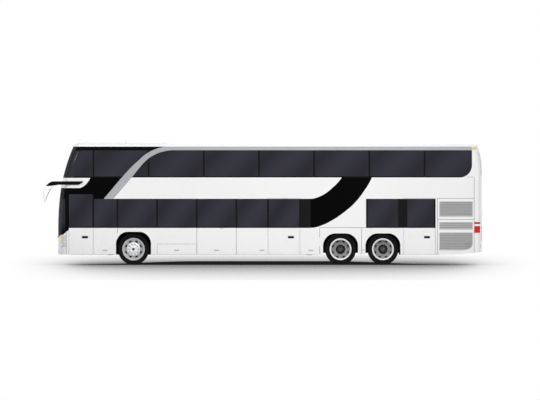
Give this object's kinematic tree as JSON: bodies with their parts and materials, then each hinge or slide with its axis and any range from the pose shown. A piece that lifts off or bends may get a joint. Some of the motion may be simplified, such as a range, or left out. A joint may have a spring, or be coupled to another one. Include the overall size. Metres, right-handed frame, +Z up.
{
  "type": "double-deck three-axle coach",
  "caption": "Double-deck touring coach with dark glazing, hinged doors, flaps and engine lid, and steered front wheels.",
  "frame": {"origin": "on the ground, at the middle of the overall length over the mirrors and of the width", "axes": "+Z up, the coach heads towards -X, its left side is at -Y"},
  "size_m": [14.3531, 2.864, 4],
  "materials": {
    "body_paint": "glossy white coach enamel",
    "screen_glass": "laminated windscreen with a black printed edge",
    "tinted_glass": "dark tinted bonded double glazing",
    "clear_lens": "clear moulded lamp lens",
    "red_lens": "red moulded lamp lens",
    "grille_grey": "grey anodised slats",
    "liner_black": "black ribbed liner",
    "frame_steel": "dark grey frame paint",
    "floor_covering": "grey flecked vinyl floor",
    "axle_steel": "black painted castings",
    "engine_iron": "grey painted block",
    "seat_cloth": "dark blue seat cloth",
    "stair_black": "dark coated steps",
    "dash_black": "grained black moulding",
    "mirror_black": "black and pale grey housing",
    "wiper_black": "black arms and blades",
    "tyre_black": "road tyre rubber",
    "rim_alloy": "polished alloy wheel"
  },
  "bodies": {
    "coach_body": {"front_panel": "body_paint", "windscreens": "screen_glass", "front_lamps": "clear_lens", "rear_panel": "body_paint", "rear_window": "screen_glass", "tail_lamps": "red_lens", "roof": "body_paint", "side_wall_left": "body_paint", "side_wall_right": "body_paint", "side_windows_left": "tinted_glass", "side_windows_right": "tinted_glass", "side_grilles": "grille_grey", "wheel_arches": "liner_black", "underframe": "frame_steel", "lower_floor": "floor_covering", "upper_floor": "floor_covering", "front_axle": "axle_steel", "drive_axle": "axle_steel", "tag_axle": "axle_steel", "engine": "engine_iron", "seats_lower": "seat_cloth", "seats_upper": "seat_cloth", "stairs": "stair_black", "dashboard": "dash_black", "mirrors": "mirror_black", "wipers": "wiper_black"},
    "front_door_leaf": {"front_door": "body_paint", "front_door_glass": "tinted_glass"},
    "mid_door_leaf": {"mid_door": "body_paint", "mid_door_glass": "tinted_glass"},
    "rear_door_leaf": {"rear_door": "body_paint", "rear_door_glass": "tinted_glass"},
    "flap_left_front_leaf": {"flap_left_front": "body_paint"},
    "flap_left_rear_leaf": {"flap_left_rear": "body_paint"},
    "flap_right_front_leaf": {"flap_right_front": "body_paint"},
    "flap_right_rear_leaf": {"flap_right_rear": "body_paint"},
    "engine_lid_leaf": {"engine_lid": "body_paint"},
    "knuckle_left_body": {"knuckle_left": "axle_steel"},
    "knuckle_right_body": {"knuckle_right": "axle_steel"},
    "track_rod_body": {"track_rod": "axle_steel"},
    "wheel_front_left": {"tyre_front_left": "tyre_black", "rim_front_left": "rim_alloy"},
    "wheel_front_right": {"tyre_front_right": "tyre_black", "rim_front_right": "rim_alloy"},
    "wheel_drive_left": {"tyre_drive_left": "tyre_black", "rim_drive_left": "rim_alloy"},
    "wheel_drive_right": {"tyre_drive_right": "tyre_black", "rim_drive_right": "rim_alloy"},
    "wheel_tag_left": {"tyre_tag_left": "tyre_black", "rim_tag_left": "rim_alloy"},
    "wheel_tag_right": {"tyre_tag_right": "tyre_black", "rim_tag_right": "rim_alloy"}
  },
  "joints": [
    {"name": "steer_left", "type": "hinge", "parent": "coach_body", "child": "knuckle_left_body", "pos_m": [-4.222, -1.0075, 0.51], "axis": [0, 0, 1], "range_deg": [-40, 40]},
    {"name": "steer_right", "type": "hinge", "parent": "coach_body", "child": "knuckle_right_body", "pos_m": [-4.222, 1.0075, 0.51], "axis": [0, 0, 1], "range_deg": [-40, 40]},
    {"name": "track_rod_swing", "type": "hinge", "parent": "knuckle_left_body", "child": "track_rod_body", "pos_m": [-4.392, -1.0075, 0.304], "axis": [0, 0, 1], "range_deg": [-40, 40]},
    {"name": "roll_front_left", "type": "hinge", "parent": "knuckle_left_body", "child": "wheel_front_left", "pos_m": [-4.222, -1.1025, 0.51], "axis": [0, -1, 0], "continuous": true},
    {"name": "roll_front_right", "type": "hinge", "parent": "knuckle_right_body", "child": "wheel_front_right", "pos_m": [-4.222, 1.1025, 0.51], "axis": [0, -1, 0], "continuous": true},
    {"name": "roll_drive_left", "type": "hinge", "parent": "coach_body", "child": "wheel_drive_left", "pos_m": [2.547, -1.1025, 0.51], "axis": [0, -1, 0], "continuous": true},
    {"name": "roll_drive_right", "type": "hinge", "parent": "coach_body", "child": "wheel_drive_right", "pos_m": [2.547, 1.1025, 0.51], "axis": [0, -1, 0], "continuous": true},
    {"name": "roll_tag_left", "type": "hinge", "parent": "coach_body", "child": "wheel_tag_left", "pos_m": [3.934, -1.1025, 0.51], "axis": [0, -1, 0], "continuous": true},
    {"name": "roll_tag_right", "type": "hinge", "parent": "coach_body", "child": "wheel_tag_right", "pos_m": [3.934, 1.1025, 0.51], "axis": [0, -1, 0], "continuous": true},
    {"name": "front_door_hinge", "type": "hinge", "parent": "coach_body", "child": "front_door_leaf", "pos_m": [-6.352, -1.267, 1.3325], "axis": [0, 0, -1], "range_deg": [0, 90]},
    {"name": "mid_door_hinge", "type": "hinge", "parent": "coach_body", "child": "mid_door_leaf", "pos_m": [0.165, -1.267, 1.2565], "axis": [0, 0, -1], "range_deg": [0, 90]},
    {"name": "rear_door_hinge", "type": "hinge", "parent": "coach_body", "child": "rear_door_leaf", "pos_m": [4.6, -1.267, 1.2565], "axis": [0, 0, -1], "range_deg": [0, 90]},
    {"name": "flap_left_front_hinge", "type": "hinge", "parent": "coach_body", "child": "flap_left_front_leaf", "pos_m": [-2.802, -1.267, 0.694], "axis": [-1, 0, 0], "range_deg": [0, 80]},
    {"name": "flap_right_front_hinge", "type": "hinge", "parent": "coach_body", "child": "flap_right_front_leaf", "pos_m": [-2.802, 1.267, 0.694], "axis": [1, 0, 0], "range_deg": [0, 80]},
    {"name": "flap_left_rear_hinge", "type": "hinge", "parent": "coach_body", "child": "flap_left_rear_leaf", "pos_m": [-1.506, -1.267, 1.2], "axis": [-1, 0, 0], "range_deg": [0, 80]},
    {"name": "flap_right_rear_hinge", "type": "hinge", "parent": "coach_body", "child": "flap_right_rear_leaf", "pos_m": [-1.506, 1.267, 1.2], "axis": [1, 0, 0], "range_deg": [0, 80]},
    {"name": "engine_lid_hinge", "type": "hinge", "parent": "coach_body", "child": "engine_lid_leaf", "pos_m": [7.16312, 0, 1.583], "axis": [0, -1, 0], "range_deg": [0, 70]}
  ],
  "couplings": [
    {"joint": "steer_right", "follows": "steer_left", "ratio": 1},
    {"joint": "track_rod_swing", "follows": "steer_left", "ratio": -1}
  ]
}
